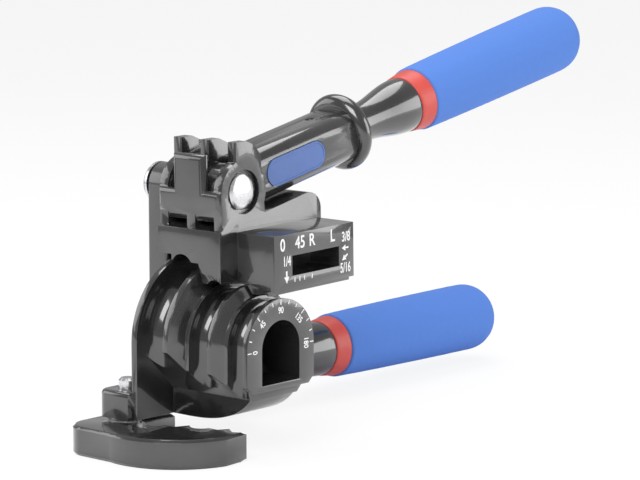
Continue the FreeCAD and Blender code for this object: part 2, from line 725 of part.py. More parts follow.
def make_badge():
    """Build the bare badge in the front of the lever block."""
    front = lever_front() - lever_middle() + size("badge_recess") - size("badge_thickness")
    badge = stadium(size("badge_start"), size("badge_length"), size("badge_height"),
                    front, front + size("badge_thickness") - 0.02)
    keep_shape(badge, "badge_plate", frame_point(0, lever_middle(), size("pin_height")), size("lever_tilt"))


def bell_shape(length, bore):
    """Return a ferrule along X: a waist that opens into a bell at the ring end."""
    neck, bell = size("neck_radius"), size("bell_radius")
    curve = Part.BSplineCurve()
    curve.interpolate([Vector(0, neck * 1.12, 0), Vector(length * 0.22, neck, 0),
                       Vector(length * 0.5, neck * 1.12, 0), Vector(length * 0.75, bell * 0.94, 0),
                       Vector(length, bell, 0)])
    corners = [Vector(length, bell, 0), Vector(length, bore, 0), Vector(0, bore, 0), Vector(0, neck * 1.12, 0)]
    edges = [curve.toShape()]
    edges += [Part.LineSegment(corners[index], corners[index + 1]).toShape() for index in range(3)]
    face = Part.Face(Part.Wire(edges))
    return face.revolve(Vector(), Vector(1, 0, 0), 360)


def make_upper_ferrule():
    """Build the lever's ferrule with its round collar against the block."""
    bore = size("rod_radius") + size("press_clearance")
    width, radius = size("collar_width"), size("collar_radius")
    base = width - 0.6
    bell = bell_shape(size("upper_ferrule") - base, bore)
    bell.translate(Vector(base, 0, 0))
    rim = Part.Arc(Vector(0, radius - 3.2, 0), Vector(width / 2, radius, 0), Vector(width, radius - 3.2, 0))
    corners = [Vector(width, radius - 3.2, 0), Vector(width, bore, 0), Vector(0, bore, 0), Vector(0, radius - 3.2, 0)]
    edges = [rim.toShape()]
    edges += [Part.LineSegment(corners[index], corners[index + 1]).toShape() for index in range(3)]
    collar = Part.Face(Part.Wire(edges)).revolve(Vector(), Vector(1, 0, 0), 360)
    ferrule = collar.fuse(bell).removeSplitter()
    ferrule.translate(Vector(size("block_end"), 0, 0))
    keep_shape(ferrule, "upper_ferrule", frame_point(0, lever_middle(), size("pin_height")), size("lever_tilt"))


def make_lower_ferrule():
    """Build the ferrule on the die's socket."""
    ferrule = bell_shape(size("lower_ferrule"), size("rod_radius") + size("press_clearance"))
    base = frame_point(size("socket_end"), size("lower_axis_y"), -size("lower_axis_z"))
    keep_shape(ferrule, "lower_ferrule", base)


# ---------------------------------------------------------------- handles

def handle_pieces(prefix, holder_end, ferrule_length, grip_length, place):
    """Build the rod, ring and foam grip of one handle along the local X axis."""
    ring_start = f"{holder_end} + {ferrule_length}"
    grip_start = f"{ring_start} + Sizes.ring_width"
    grip_end = f"{grip_start} + {grip_length}"
    rod_start = f"{holder_end} - Sizes.rod_seat + 0.2"
    rod_end = f"{grip_end} - Sizes.grip_wall"
    rod = turned_body(prefix + "_handle_rod", [
        (rod_start, "0"), (rod_start, "Sizes.rod_radius"), (rod_end, "Sizes.rod_radius"), (rod_end, "0")], place)
    inner = "Sizes.rod_radius + Sizes.press_clearance"
    ring = turned_body(prefix + "_red_ring", [
        (ring_start, inner), (grip_start, inner), (grip_start, "Sizes.ring_radius"),
        (ring_start, "Sizes.bell_radius + 0.3")], place)
    grip = turned_body(prefix + "_foam_grip", [
        (grip_start, inner), (f"{rod_end} + 0.1", inner), (f"{rod_end} + 0.1", "0"), (grip_end, "0"),
        (grip_end, "Sizes.grip_far"), (grip_start, "Sizes.grip_near")], place)
    end = number(grip_end)
    round_body_end(grip, end, size("grip_dome"), size("grip_far"))
    return [rod, ring, grip]


def round_body_end(body, end, radius, rim):
    """Fillet the outer circle at the far end of a turned body."""
    turn = body.Tip
    names = []
    for index, edge in enumerate(turn.Shape.Edges):
        box = edge.BoundBox
        flat = abs(box.XMin - end) < 0.01 and abs(box.XMax - end) < 0.01
        if flat and abs(box.YMax - rim) < 0.01:
            names.append(f"Edge{index + 1}")
    dome = body.newObject("PartDesign::Fillet", "Dome_" + body.Name)
    dome.Base = (turn, names)
    dome.Radius = radius
    dome.setExpression("Radius", "Sizes.grip_dome")
    body.Tip = dome
    doc.recompute()


def make_handles():
    """Build both handles and turn the upper one up with the lever."""
    lower_place = ("0", "Sizes.lower_axis_y", "-Sizes.lower_axis_z")
    handle_pieces("lower", "Sizes.socket_end", "Sizes.lower_ferrule", "Sizes.lower_grip", lower_place)
    upper = handle_pieces("upper", "Sizes.block_end", "Sizes.upper_ferrule", "Sizes.upper_grip", ("0", "0", "0"))
    for body in upper:
        along_lever(body)


def make_roll_pins():
    """Build the two roll pins that lock the rods in their castings."""
    depth = "Sizes.socket_end - Sizes.rod_seat / 2"
    reach = size("socket_radius") - 0.4
    outline = [("0", "0"), ("0", "Sizes.roll_pin"), (str(2 * reach), "Sizes.roll_pin"), (str(2 * reach), "0")]
    turned_body("lower_roll_pin", outline, (depth, f"Sizes.lower_axis_y - {reach}", "-Sizes.lower_axis_z"), "y")
    half = size("block_half") - 0.3
    pin = cylinder_z(size("roll_pin"), -half, half, size("block_end") - size("rod_seat") / 2, 0)
    keep_shape(pin, "upper_roll_pin", frame_point(0, lever_middle(), size("pin_height")), size("lever_tilt"))


def drill_rods():
    """Cross-drill both rods for their roll pins."""
    for label, holder, axis in (("lower", "Sizes.socket_end", "XZ_Plane"), ("upper", "Sizes.block_end", "XY_Plane")):
        body = next(item for item in PARTS if item.Label == label + "_handle_rod")
        origin = {item.Role: item for item in body.Origin.OriginFeatures}
        sketch = body.newObject("Sketcher::SketchObject", "CrossHole_" + label)
        sketch.AttachmentSupport = [(origin[axis], "")]
        sketch.MapMode = "FlatFace"
        middle = number(f"{holder} - Sizes.rod_seat / 2")
        sketch.addGeometry(Part.Circle(Vector(middle, 0, 0), Vector(0, 0, 1), size("roll_pin")), False)
        sketch.addConstraint(Sketcher.Constraint("PointOnObject", 0, 3, -1))
        row = sketch.addConstraint(Sketcher.Constraint("DistanceX", -1, 1, 0, 3, middle))
        sketch.setExpression(f"Constraints[{row}]", f"{holder} - Sizes.rod_seat / 2")
        row = sketch.addConstraint(Sketcher.Constraint("Radius", 0, size("roll_pin")))
        sketch.setExpression(f"Constraints[{row}]", "Sizes.roll_pin + Sizes.press_clearance")
        before = body.Shape.Volume
        pocket = body.newObject("PartDesign::Pocket", "Cross_" + label)
        pocket.Profile = sketch
        pocket.Type = "ThroughAll"
        pocket.Midplane = True
        body.Tip = pocket
        doc.recompute()
        assert body.Shape.Volume < before - 1, label + " rod has no cross hole"


# ---------------------------------------------------------------- latch

def latch_outline():
    """Return the latch's face: a swept hook from the pin round to the front groove."""
    reach, front, back = size("latch_reach"), size("latch_front"), size("latch_back")
    small, middle, large = grooves()
    right = -size("lug_right") + 3
    level = latch_top()

    def spot(x, y):
        return Vector(x, y, level)

    tip = spot(-small["bend"], front + 0.8)
    nose = spot(-reach * 0.53, front)
    heel = spot(-reach, back * 0.62)
    outer = Part.Arc(nose, spot(-reach * 0.86, back * 0.18), heel).toShape()
    step_one = (small["ridge_end"] + middle["land_start"]) / 2
    step_two = (middle["ridge_end"] + large["land_start"]) / 2
    path = [heel, spot(-reach, back), spot(right, back), spot(right, flange_front()),
            spot(-large["bend"], flange_front()), spot(-large["bend"], step_two),
            spot(-middle["bend"], step_two - 3), spot(-middle["bend"], step_one),
            spot(-small["bend"], step_one - 2), tip, nose]
    lines = [Part.LineSegment(path[index], path[index + 1]).toShape() for index in range(len(path) - 1)]
    return Part.Face(Part.Wire([outer] + lines))


def make_latch():
    """Build the latch with a seat for each tube and a bore for its pin."""
    top = latch_top()
    low = top - size("latch_thickness")
    latch = latch_outline().extrude(Vector(0, 0, low - top))
    corners = Vector(0, 0, 1)
    latch = round_edges(latch, size("latch_corner"), lambda edge, at: is_straight(edge, corners)
                        and at.y > size("latch_back") - 0.01)
    level = [edge for edge in latch.Edges if edge.BoundBox.ZLength < 0.01]
    latch = latch.makeChamfer(size("latch_edge"), level)
    cuts = [cylinder_z(row["radius"], low - 1, top + 1, -row["bend"], row["middle"]) for row in grooves()]
    pin = (-size("latch_x"), size("latch_y"))
    cuts.append(cylinder_z(size("latch_pin") + size("running_clearance"), low - 1, top + 1, *pin))
    cuts.append(cylinder_z(size("latch_washer"), low - 1, low + 2.6, *pin))
    latch = latch.cut(cuts).removeSplitter()
    keep_shape(latch, "tube_latch", frame_point())


def make_latch_pin():
    """Build the latch pin with its washer and clip."""
    low = latch_top() - size("latch_thickness")
    start = low + 0.5
    clip_low = low + 1.5 - start
    clip_high = clip_low + size("clip_thickness") + 0.1
    waist = "Sizes.latch_pin - Sizes.clip_bite"
    end = f"{-size('lug_rise') + size('pin_proud') - start:.4f}"
    outline = [("0", "0"), ("0", "Sizes.latch_pin - 0.4"), ("0.4", "Sizes.latch_pin"),
               (f"{clip_low:.4f}", "Sizes.latch_pin"), (f"{clip_low:.4f}", waist),
               (f"{clip_high:.4f}", waist), (f"{clip_high:.4f}", "Sizes.latch_pin"),
               (f"{end} - 0.8", "Sizes.latch_pin"), (end, "Sizes.latch_pin - 0.8"), (end, "0")]
    place = ("-Sizes.latch_x", "Sizes.latch_y", f"{start:.4f}")
    turned_body("latch_pin", outline, place, "z")
    washer = ring_outline("Sizes.latch_pin + Sizes.running_clearance", "Sizes.latch_washer", "Sizes.latch_gap - 0.1")
    turned_body("latch_washer", washer, ("-Sizes.latch_x", "Sizes.latch_y", f"{latch_top():.4f} + 0.05"), "z")
    make_clip("latch_clip", size("latch_pin"), frame_point(-size("latch_x"), size("latch_y"), low + 1.55),
              Vector(0, 0, 1))


# ---------------------------------------------------------------- build and export

def check_document():
    """Stop if any object failed or any sub-part has no valid shape."""
    for item in doc.Objects:
        bad = [word for word in item.State if word in ("Invalid", "Error")]
        assert not bad, f"{item.Label}: {bad}"
    for item in PARTS:
        assert not item.Shape.isNull(), item.Label + " is empty"
        assert item.Shape.isValid(), item.Label + " is not valid"
        assert item.Shape.Volume > 0, item.Label + " has no volume"


def export_parts():
    """Write each sub-part to its own file and report its size."""
    os.makedirs("parts", exist_ok=True)
    for item in PARTS:
        item.Shape.exportStep(f"parts/{item.Label}.step")
        box = item.Shape.BoundBox
        print(f"{item.Label:18s} solids {len(item.Shape.Solids)} volume {item.Shape.Volume:9.1f} "
              f"x {box.XMin:7.2f} {box.XMax:7.2f} y {box.YMin:7.2f} {box.YMax:7.2f} z {box.ZMin:7.2f} {box.ZMax:7.2f}")


def main():
    """Build every sub-part, check the document and write the files."""
    fill_sheet()
    make_die()
    make_link_arm()
    make_pins()
    make_shoe()
    make_lever_block()
    make_badge()
    make_upper_ferrule()
    make_lower_ferrule()
    make_handles()
    make_roll_pins()
    drill_rods()
    make_latch()
    make_latch_pin()
    doc.recompute()
    check_document()
    export_parts()


main()
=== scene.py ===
"""Looks of a lever tube bender: finishes, foam grips, painted marks, light and camera.

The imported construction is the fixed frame. Castings, pins and rods keep their shapes and
get a finish and a soft edge. The foam grips, the badge and the painted marks are modelled
here and ride on the bodies that carry them.
"""

import json
import logging
import math
from dataclasses import dataclass, field
from enum import Enum
from typing import Iterable, NamedTuple, Sequence

import bmesh
import bpy
from mathutils import Matrix, Vector, noise


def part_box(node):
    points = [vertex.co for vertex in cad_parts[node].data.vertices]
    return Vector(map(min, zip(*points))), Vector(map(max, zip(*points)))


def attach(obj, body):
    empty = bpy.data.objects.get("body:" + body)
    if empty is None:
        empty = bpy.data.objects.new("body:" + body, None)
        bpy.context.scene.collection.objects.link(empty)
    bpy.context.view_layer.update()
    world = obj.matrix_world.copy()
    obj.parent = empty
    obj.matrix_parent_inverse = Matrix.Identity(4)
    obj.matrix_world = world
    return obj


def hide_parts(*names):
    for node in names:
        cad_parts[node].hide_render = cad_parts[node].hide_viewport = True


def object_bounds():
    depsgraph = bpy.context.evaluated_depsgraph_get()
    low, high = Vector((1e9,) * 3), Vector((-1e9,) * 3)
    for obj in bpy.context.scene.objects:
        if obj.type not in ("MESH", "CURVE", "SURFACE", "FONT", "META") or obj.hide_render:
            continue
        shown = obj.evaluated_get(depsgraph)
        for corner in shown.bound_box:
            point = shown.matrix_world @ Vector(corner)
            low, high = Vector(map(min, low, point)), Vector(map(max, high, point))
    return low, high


MM = 0.001
WHITE = (1.0, 1.0, 1.0, 1.0)
UPRIGHT = Matrix.Rotation(math.pi / 2, 4, "X")
LOG = logging.getLogger("tube_bender")

Color = tuple[float, float, float]

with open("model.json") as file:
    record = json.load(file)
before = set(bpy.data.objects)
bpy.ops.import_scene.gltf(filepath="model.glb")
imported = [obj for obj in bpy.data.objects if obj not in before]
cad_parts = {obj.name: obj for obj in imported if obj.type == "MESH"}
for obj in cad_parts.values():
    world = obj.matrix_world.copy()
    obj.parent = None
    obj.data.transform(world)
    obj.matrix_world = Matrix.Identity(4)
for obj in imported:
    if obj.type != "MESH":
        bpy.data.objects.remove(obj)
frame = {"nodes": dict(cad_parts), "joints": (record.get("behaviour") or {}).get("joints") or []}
CAD_LOW, CAD_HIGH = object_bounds()


# ------------------------------------------------------------------ shader tools


class Wire:
    """A value in a material's node tree that takes part in plain arithmetic."""

    def __init__(self, shader: "Shader", socket: bpy.types.NodeSocket) -> None:
        """Wrap one output socket of a shader's tree."""
        self.shader = shader
        self.socket = socket

    def _maths(self, operation: str, first: object, second: object) -> "Wire":
        """Add a Math node for two values and return its result."""
        return self.shader.node("ShaderNodeMath", {"operation": operation}, {0: first, 1: second})

    def __add__(self, other: object) -> "Wire":
        """Return self + other."""
        return self._maths("ADD", self, other)

    def __radd__(self, other: object) -> "Wire":
        """Return other + self."""
        return self._maths("ADD", other, self)

    def __sub__(self, other: object) -> "Wire":
        """Return self - other."""
        return self._maths("SUBTRACT", self, other)

    def __rsub__(self, other: object) -> "Wire":
        """Return other - self."""
        return self._maths("SUBTRACT", other, self)

    def __mul__(self, other: object) -> "Wire":
        """Return self * other."""
        return self._maths("MULTIPLY", self, other)

    def __rmul__(self, other: object) -> "Wire":
        """Return other * self."""
        return self._maths("MULTIPLY", other, self)

    def clamp(self) -> "Wire":
        """Return self held between 0 and 1."""
        return self.shader.node("ShaderNodeClamp", {}, {0: self})


class Shader:
    """A material's node tree with one Principled surface."""

    def __init__(self, name: str, **constants: object) -> None:
        """Make the material.

        Args:
            name: the material's name.
            constants: values of the Principled node's own sockets, with _ for a space.
        """
        self.material = bpy.data.materials.new(name)
        self.material.use_nodes = True
        self.tree = self.material.node_tree
        self.surface = self.tree.nodes["Principled BSDF"]
        for key, value in constants.items():
            self.surface.inputs[key.replace("_", " ")].default_value = value

    def node(self, kind: str, settings: dict, inputs: dict, output: object = 0) -> Wire:
        """Add any node.

        Args:
            kind: the node's type.
            settings: the node's own settings, set before its sockets.
            inputs: values or wires for its sockets, by index or name.
            output: the index or name of the output to return.

        Returns:
            The chosen output as a wire.
        """
        made = self.tree.nodes.new(kind)
        for key, value in settings.items():
            if key == "stops":
                self._set_stops(made.color_ramp, value)
            else:
                setattr(made, key, value)
        for key, value in inputs.items():
            self._feed(made.inputs[key], value)
        return Wire(self, made.outputs[output])

    @staticmethod
    def _set_stops(ramp: bpy.types.ColorRamp, stops: Sequence[tuple[float, float]]) -> None:
        """Give a colour ramp its stops.

        Args:
            ramp: the ramp, which comes with two stops.
            stops: (place, grey level) pairs in order.
        """
        for index, (place, level) in enumerate(stops):
            stop = ramp.elements[index] if index < 2 else ramp.elements.new(place)
            stop.position = place
            stop.color = (level, level, level, 1.0)

    def _feed(self, socket: bpy.types.NodeSocket, value: object) -> None:
        """Link a wire to a socket, or set a plain value on it.

        Args:
            socket: the input socket.
            value: a wire, or a number, colour or vector.
        """
        if isinstance(value, Wire):
            self.tree.links.new(value.socket, socket)
        else:
            socket.default_value = value

    def drive(self, name: str, value: Wire) -> None:
        """Link a wire to a socket of the Principled surface."""
        self.tree.links.new(value.socket, self.surface.inputs[name])

    def place(self, scale: Sequence[float] = (1.0, 1.0, 1.0)) -> Wire:
        """Return object coordinates, scaled along each axis."""
        coordinates = self.node("ShaderNodeTexCoord", {}, {}, "Object")
        return self.node("ShaderNodeMapping", {}, {"Vector": coordinates, "Scale": scale})

    def grain(self, at: Wire, scale: float, detail: float = 2.0, roughness: float = 0.5) -> Wire:
        """Return soft noise about 0.5."""
        return self.node("ShaderNodeTexNoise", {"noise_dimensions": "3D"},
                         {"Vector": at, "Scale": scale, "Detail": detail, "Roughness": roughness})

    def cells(self, at: Wire, scale: float) -> Wire:
        """Return the distance to the nearest of many scattered points."""
        return self.node("ShaderNodeTexVoronoi", {"feature": "F1"}, {"Vector": at, "Scale": scale})

    def ramp(self, value: Wire, *stops: tuple[float, float]) -> Wire:
        """Return a value sent through grey levels."""
        return self.node("ShaderNodeValToRGB", {"stops": stops}, {"Fac": value})

    def blend(self, share: Wire, first: Color, second: Color) -> Wire:
        """Return a colour between two colours."""
        colors = {0: share, 6: (*first, 1.0), 7: (*second, 1.0)}
        return self.node("ShaderNodeMix", {"data_type": "RGBA"}, colors, 2)

    def around(self, middle: float, swing: float, pattern: Wire) -> Wire:
        """Return a value that a pattern of 0 to 1 moves over a swing about its middle."""
        return (pattern * swing + (middle - swing / 2)).clamp()

    def bump(self, height: Wire, depth: float, strength: float) -> None:
        """Raise the surface by a height field of the given depth in metres."""
        inputs = {"Height": height, "Distance": depth, "Strength": strength}
        self.drive("Normal", self.node("ShaderNodeBump", {}, inputs))

    def edges(self, radius: float) -> Wire:
        """Find the outside and inside edges of the shape.

        Args:
            radius: how far from an edge the mask reaches, in metres.

        Returns:
            A mask that rises from 0 on the flat towards the edges.
        """
        rounded = self.node("ShaderNodeBevel", {"samples": 4}, {"Radius": radius})
        plain = self.node("ShaderNodeNewGeometry", {}, {}, "Normal")
        normals = {0: rounded, 1: plain}
        return 1.0 - self.node("ShaderNodeVectorMath", {"operation": "DOT_PRODUCT"}, normals, "Value")


# ------------------------------------------------------------------ finishes
#
# The scales are those of the noise, in cells per metre, and the plain factors in a sum
# are the shares of its patterns.


@dataclass(frozen=True)
class GlossPaint:
    """Black gloss paint on a casting, with a faint orange peel and lighter edges that are partly thin, worn
    paint and partly a painted highlight.
    """

    name: str
    base: Color = (0.012, 0.012, 0.013)
    # Lighter grey towards the edges, partly edge wear and partly a painted highlight along them.
    thin: Color = (0.045, 0.045, 0.048)
    peel: float = 0.03 * MM
    edge: float = 0.6 * MM
    roughness: float = 0.2
    specular: float = 0.62
    cloud_scale: float = 90.0
    peel_scale: float = 420.0
    fine_scale: float = 1100.0

    def make(self) -> bpy.types.Material:
        """Mix the paint.

        Returns:
            The paint as a material.
        """
        shader = Shader(self.name, Specular_IOR_Level=self.specular, Coat_Roughness=0.06, Coat_IOR=1.6)
        at = shader.place()
        cloud = shader.grain(at, self.cloud_scale, 3.0)
        fine = shader.grain(at, self.fine_scale, 2.0)
        # Painted highlight with edge wear: the colour lightens towards outside and inside edges.
        edge_wear_and_highlight = (shader.edges(self.edge) * 3.0).clamp()
        color = shader.blend((edge_wear_and_highlight * 0.8 + cloud * 0.25).clamp(), self.base, self.thin)
        shader.drive("Base Color", color)
        shader.drive("Roughness", (cloud * 0.12 + fine * 0.05 + (self.roughness - 0.08)).clamp())
        shader.drive("Coat Weight", shader.around(0.9, 0.3, cloud))
        shader.bump(fine * 0.5 + shader.grain(at, self.peel_scale, 1.0) * 0.5, self.peel, 0.6)
        return shader.material


@dataclass(frozen=True)
class PlatedSteel:
    """Plated steel with soft clouds and a fine speckle."""

    name: str
    base: Color = (0.72, 0.72, 0.74)
    dark: Color = (0.45, 0.45, 0.47)
    roughness: float = 0.26
    speckle: float = 0.02 * MM
    cloud_scale: float = 160.0
    speck_scale: float = 900.0

    def make(self) -> bpy.types.Material:
        """Mix the plating.

        Returns:
            The plated steel as a material.
        """
        shader = Shader(self.name, Metallic=1.0, IOR=2.2)
        at = shader.place()
        speck = shader.grain(at, self.speck_scale, 4.0, 0.65)
        cloud = shader.grain(at, self.cloud_scale, 2.0)
        color = shader.blend((cloud * 0.6 + speck * 0.4 - 0.2).clamp(), self.base, self.dark)
        shader.drive("Base Color", color)
        shader.drive("Roughness", shader.around(self.roughness, 0.2, speck))
        shader.bump(speck, self.speckle, 0.5)
        return shader.material


@dataclass(frozen=True)
class MouldedPlastic:
    """Solid coloured plastic with a soft sheen and a fine moulded grain."""

    name: str
    base: Color
    deep: Color
    roughness: float = 0.42
    grain: float = 0.03 * MM
    cloud_scale: float = 140.0
    fine_scale: float = 1500.0

    def make(self) -> bpy.types.Material:
        """Mix the plastic.

        Returns:
            The plastic as a material.
        """
        shader = Shader(self.name, Specular_IOR_Level=0.5)
        at = shader.place()
        cloud = shader.grain(at, self.cloud_scale, 3.0)
        fine = shader.grain(at, self.fine_scale, 3.0)
        shader.drive("Base Color", shader.blend((cloud * 1.4 - 0.2).clamp(), self.base, self.deep))
        shader.drive("Roughness", shader.around(self.roughness, 0.16, fine))
        shader.bump(fine, self.grain, 0.7)
        return shader.material


@dataclass(frozen=True)
class Foam:
    """Soft fine-celled foam: tiny open cells, faint mottling and a dusty sheen."""

    name: str
    base: Color = (0.075, 0.165, 0.4)
    light: Color = (0.14, 0.25, 0.52)
    sheen: Color = (0.7, 0.8, 1.0)
    relief: float = 0.16 * MM
    cell_scale: float = 2100.0
    mottle_scale: float = 330.0
    mottle_stretch: tuple[float, float, float] = (0.45, 1.0, 1.0)

    def make(self) -> bpy.types.Material:
        """Mix the foam.

        Returns:
            The foam as a material.
        """
        shader = Shader(self.name, Specular_IOR_Level=0.25, Sheen_Weight=0.35, Sheen_Roughness=0.5,
                        Sheen_Tint=(*self.sheen, 1.0))
        mottle = shader.grain(shader.place(self.mottle_stretch), self.mottle_scale, 4.0, 0.62)
        pores = shader.ramp(shader.cells(shader.place(), self.cell_scale), (0.0, 0.0), (0.42, 1.0))
        share = (mottle * 3.0 - 1.15 + pores * 0.25).clamp()
        shader.drive("Base Color", shader.blend(share, self.base, self.light))
        shader.drive("Roughness", shader.around(0.86, 0.12, pores))
        shader.bump(pores * 0.6 + mottle * 0.9, self.relief, 0.8)
        return shader.material


@dataclass(frozen=True)
class MarkPaint:
    """Matt paint filled into a cast mark, slightly uneven."""

    name: str
    base: Color = (0.86, 0.86, 0.86)
    thin: Color = (0.55, 0.55, 0.56)
    relief: float = 0.02 * MM
    speck_scale: float = 1600.0

    def make(self) -> bpy.types.Material:
        """Mix the paint.

        Returns:
            The paint as a material.
        """
        shader = Shader(self.name, Specular_IOR_Level=0.4)
        speck = shader.grain(shader.place(), self.speck_scale, 3.0)
        shader.drive("Base Color", shader.blend((speck * 2.0 - 0.85).clamp(), self.base, self.thin))
        shader.drive("Roughness", shader.around(0.5, 0.2, speck))
        shader.bump(speck, self.relief, 0.5)
        return shader.material


class Finish(Enum):
    """Every finish on the tool, with the record's material slot that it belongs to."""

    CASTING = ("black_casting", GlossPaint("gloss_black_casting"))
    # The second colour is the lighter edge grey, which is partly edge wear and partly a painted highlight.
    ARM = ("black_steel", GlossPaint("satin_black_steel", (0.022, 0.022, 0.023), (0.06, 0.06, 0.063),
                                     roughness=0.34, specular=0.5))
    BRIGHT = ("bright_steel", PlatedSteel("plated_steel"))
    SPRING = ("spring_steel", PlatedSteel("blued_spring_steel", (0.22, 0.22, 0.25), (0.1, 0.1, 0.12)))
    RING = ("red_plastic", MouldedPlastic("red_ring_plastic", (0.62, 0.075, 0.06), (0.5, 0.055, 0.045)))
    FOAM = ("blue_foam", Foam("blue_foam"))
    BADGE = ("blue_badge", MouldedPlastic("blue_badge_enamel", (0.07, 0.15, 0.42), (0.06, 0.13, 0.38),
                                          roughness=0.36, grain=0.01 * MM))
    MARK = ("white_marks", MarkPaint("white_mark_paint"))

    @property
    def slot(self) -> str:
        """The record's material slot."""
        return self.value[0]

    @property
    def material(self) -> bpy.types.Material:
        """The finish as a material, made on first use."""
        recipe = self.value[1]
        return bpy.data.materials.get(recipe.name) or recipe.make()


# ------------------------------------------------------------------ mesh tools


def new_piece(name: str, mesh: bmesh.types.BMesh, finish: Finish, body: str,
              smooth: bool = True) -> bpy.types.Object:
    """Turn a bmesh into a finished piece that rides on a body.

    Args:
        name: the piece's name.
        mesh: the modelled shape, already in its place; it is freed here.
        finish: the piece's finish.
        body: the CAD body that carries the piece.
        smooth: whether faces are shaded smooth.

    Returns:
        The new object.
    """
    bmesh.ops.recalc_face_normals(mesh, faces=mesh.faces)
    data = bpy.data.meshes.new(name)
    mesh.to_mesh(data)
    mesh.free()
    data.polygons.foreach_set("use_smooth", [smooth] * len(data.polygons))
    piece = bpy.data.objects.new(name, data)
    bpy.context.scene.collection.objects.link(piece)
    data.materials.append(finish.material)
    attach(piece, body)
    LOG.info("piece %s: %d faces on body %s", name, len(data.polygons), body)
    return piece


def turned(profile: Iterable[tuple[float, float]], steps: int) -> bmesh.types.BMesh:
    """Turn an outline about the X axis.

    Args:
        profile: (along, radius) pairs in metres; a radius of 0 closes the shape.
        steps: how many sides the turned shape has.

    Returns:
        The shape as a bmesh.
    """
    mesh = bmesh.new()
    ring = [mesh.verts.new((along, radius, 0.0)) for along, radius in profile]
    edges = [mesh.edges.new(pair) for pair in zip(ring, ring[1:])]
    bmesh.ops.spin(mesh, geom=ring + edges, cent=(0, 0, 0), axis=(1, 0, 0), angle=2 * math.pi,
                   steps=steps, use_merge=True)
    bmesh.ops.remove_doubles(mesh, verts=mesh.verts, dist=1e-7)
    return mesh


# ------------------------------------------------------------------ facts of the frame


@dataclass(frozen=True)
class Layout:
    """Places that every sub-assembly shares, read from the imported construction."""

    lever_tilt: float = math.radians(11.7)
    shoe_tilt: float = math.radians(1.2)

    @property
    def joints(self) -> dict:
        """The joints by name."""
        return {joint["name"]: joint for joint in frame["joints"]}

    @property
    def bend_axis(self) -> Vector:
        """A point on the bend axis, in the plane of the scale face."""
        point = Vector(self.joints["bend_swing"]["pos_m"])
        return Vector((point.x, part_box("die_body")[0].y, point.z))

    @property
    def main_pin(self) -> Vector:
        """The main pin's axis at the middle of the lever."""
        return Vector(self.joints["lever_raise"]["pos_m"])

    @property
    def lever(self) -> Matrix:
        """The placement of the lever's own axes, X along the lever from the main pin."""
        return Matrix.Translation(self.main_pin) @ Matrix.Rotation(-self.lever_tilt, 4, "Y")

    def lever_box(self, node: str) -> tuple[Vector, Vector]:
        """Find a CAD node's box in the lever's own axes.

        Args:
            node: the node's name.

        Returns:
            The low and the high corner.
        """
        inverse = self.lever.inverted()
        places = [inverse @ vertex.co for vertex in frame["nodes"][node].data.vertices]
        low = Vector([min(place[axis] for place in places) for axis in range(3)])
        high = Vector([max(place[axis] for place in places) for axis in range(3)])
        return low, high

    def radius_of(self, node: str) -> float:
        """Return the largest radius of a turned CAD node, from its width in Y."""
        low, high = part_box(node)
        return (high.y - low.y) / 2


# ------------------------------------------------------------------ castings and hardware


@dataclass
class Construction:
    """The CAD pieces that keep their shapes: each gets a finish and softened edges."""

    finishes: dict[Finish, tuple[str, ...]] = field(default_factory=lambda: {
        Finish.CASTING: ("die_body", "forming_shoe", "lever_block", "tube_latch", "upper_ferrule",
                         "lower_ferrule"),
        Finish.ARM: ("link_arm",),
        Finish.BRIGHT: ("main_pin", "die_pivot_pin", "latch_pin", "main_pin_washer", "die_pin_washer",
                        "arm_spacer", "latch_washer", "upper_handle_rod", "lower_handle_rod"),
        Finish.SPRING: ("main_pin_clip", "die_pin_clip", "latch_clip", "upper_roll_pin", "lower_roll_pin"),
        Finish.RING: ("upper_red_ring", "lower_red_ring")})
    soft_edges: dict[str, float] = field(default_factory=lambda: {
        "die_body": 0.6 * MM, "forming_shoe": 0.8 * MM, "lever_block": 0.5 * MM, "tube_latch": 0.9 * MM,
        "link_arm": 0.3 * MM, "main_pin": 0.12 * MM, "upper_red_ring": 0.4 * MM,
        "lower_red_ring": 0.4 * MM, "upper_ferrule": 0.3 * MM, "lower_ferrule": 0.3 * MM})
    sharp: float = math.radians(32)
    segments: int = 3

    def dress(self) -> None:
        """Give every kept node its finish and its edges."""
        for finish, names in self.finishes.items():
            for name in names:
                self._finish(name, finish)
        for name, width in self.soft_edges.items():
            self._soften(frame["nodes"][name], width)

    def _finish(self, name: str, finish: Finish) -> None:
        """Put a finish on one node.

        Args:
            name: the node's name.
            finish: the finish.
        """
        node = frame["nodes"][name]
        if not node.material_slots:
            node.data.materials.append(finish.material)
        for slot in node.material_slots:
            slot.material = finish.material
        LOG.info("node %s: %s", name, finish.slot)

    def _soften(self, node: bpy.types.Object, width: float) -> None:
        """Weld a node's facets and round its sharp edges.

        Args:
            node: the node's object.
            width: the width of the rounded edge in metres.
        """
        weld = node.modifiers.new("weld", "WELD")
        weld.merge_threshold = 1e-6
        bevel = node.modifiers.new("soft_edge", "BEVEL")
        bevel.width = width
        bevel.segments = self.segments
        bevel.limit_method = "ANGLE"
        bevel.angle_limit = self.sharp
        bevel.harden_normals = True
        bevel.miter_outer = "MITER_ARC"
        node.data.polygons.foreach_set("use_smooth", [True] * len(node.data.polygons))


# ------------------------------------------------------------------ foam grips


